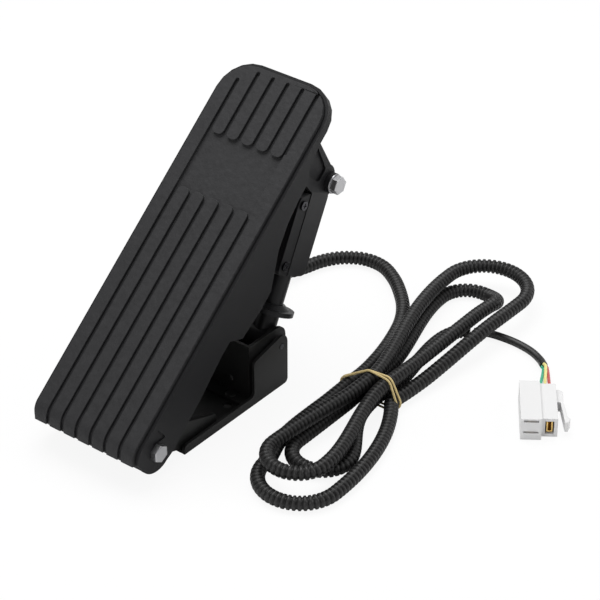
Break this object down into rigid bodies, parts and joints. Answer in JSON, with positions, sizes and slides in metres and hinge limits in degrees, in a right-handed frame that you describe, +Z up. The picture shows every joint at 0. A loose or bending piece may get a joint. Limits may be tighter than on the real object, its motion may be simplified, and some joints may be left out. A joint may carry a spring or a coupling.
{
  "type": "electric accelerator pedal",
  "caption": "Floor-mounted electric accelerator pedal: ribbed rubber pad on a heel-hinged plate, telescopic sensor strut to a folded base, and a banded ribbed lead with a plug.",
  "frame": {"origin": "centre of the four floor bolt holes, on the underside of the base plate", "axes": "X across the pedal, towards the side that carries the sensor strut; Y from the heel hinge to the toe; Z up from the floor"},
  "size_m": [0.2518, 0.316, 0.1814],
  "materials": {
    "coated_steel": "satin black coating on folded sheet",
    "frame_moulding": "fine mould texture",
    "pad_rubber": "matt, finely textured",
    "zinc_steel": "bright zinc plating",
    "dark_steel": "phosphated",
    "bearing_plastic": "smooth",
    "housing_moulding": "smooth matt",
    "seal_rubber": "matt",
    "magnet_alloy": "ground",
    "board_laminate": "solder mask",
    "chip_plastic": "matt",
    "spring_steel": "drawn wire",
    "conduit_plastic": "semi-gloss",
    "band_rubber": "natural rubber",
    "sheath_plastic": "satin",
    "green_wire": "insulation",
    "yellow_wire": "insulation",
    "red_wire": "insulation",
    "connector_plastic": "satin",
    "contact_brass": "bright"
  },
  "bodies": {
    "base": {"base_plate": "coated_steel", "strut_bracket": "coated_steel", "bracket_rivets": "dark_steel", "hinge_bracket": "coated_steel", "hinge_rivets": "dark_steel", "hinge_bushes": "bearing_plastic", "foot_pin": "dark_steel", "pin_clip": "spring_steel", "pin_spacers": "bearing_plastic", "conduit_lead": "conduit_plastic", "conduit_hank": "conduit_plastic", "rubber_band": "band_rubber", "cable_sheath": "sheath_plastic", "wire_green": "green_wire", "wire_yellow": "yellow_wire", "wire_red": "red_wire", "connector_housing": "connector_plastic", "connector_latch": "connector_plastic", "connector_terminals": "contact_brass"},
    "pedal": {"pedal_frame": "frame_moulding", "rubber_pad": "pad_rubber", "heel_bolt": "zinc_steel", "heel_nut": "zinc_steel", "heel_washer": "zinc_steel", "heel_sleeve": "dark_steel", "head_bolt": "zinc_steel", "head_nut": "zinc_steel", "head_washers": "zinc_steel", "head_sleeve": "bearing_plastic", "head_bush": "zinc_steel"},
    "plunger": {"plunger": "housing_moulding", "foot_bush": "bearing_plastic", "magnet_holder": "bearing_plastic", "magnet": "magnet_alloy"},
    "sensor": {"sensor_housing": "housing_moulding", "sensor_cover": "housing_moulding", "cover_screws": "zinc_steel", "circuit_board": "board_laminate", "hall_sensor": "chip_plastic", "guide_bush": "bearing_plastic", "wiper_seal": "seal_rubber", "return_spring": "spring_steel", "cable_gland": "housing_moulding"}
  },
  "joints": [
    {"name": "pedal_hinge", "type": "hinge", "parent": "base", "child": "pedal", "pos_m": [0, -0.0615, 0.021], "axis": [-1, 0, 0], "range_deg": [0, 12], "stiffness_Nm_per_rad": 5, "springref_deg": -34.38},
    {"name": "strut_pivot", "type": "hinge", "parent": "base", "child": "plunger", "pos_m": [0.021, 0.0588, 0.0287], "axis": [-1, 0, 0], "range_deg": [0, 21.6]},
    {"name": "housing_slide", "type": "slide", "parent": "plunger", "child": "sensor", "axis": [0, -0.4573, -0.8893], "range_m": [0, 0.0195], "deforming": ["return_spring"]}
  ],
  "couplings": [
    {"joint": "strut_pivot", "follows": "pedal_hinge", "ratio": 1.795},
    {"joint": "housing_slide", "follows": "pedal_hinge", "m_per_rad": 0.0925}
  ]
}
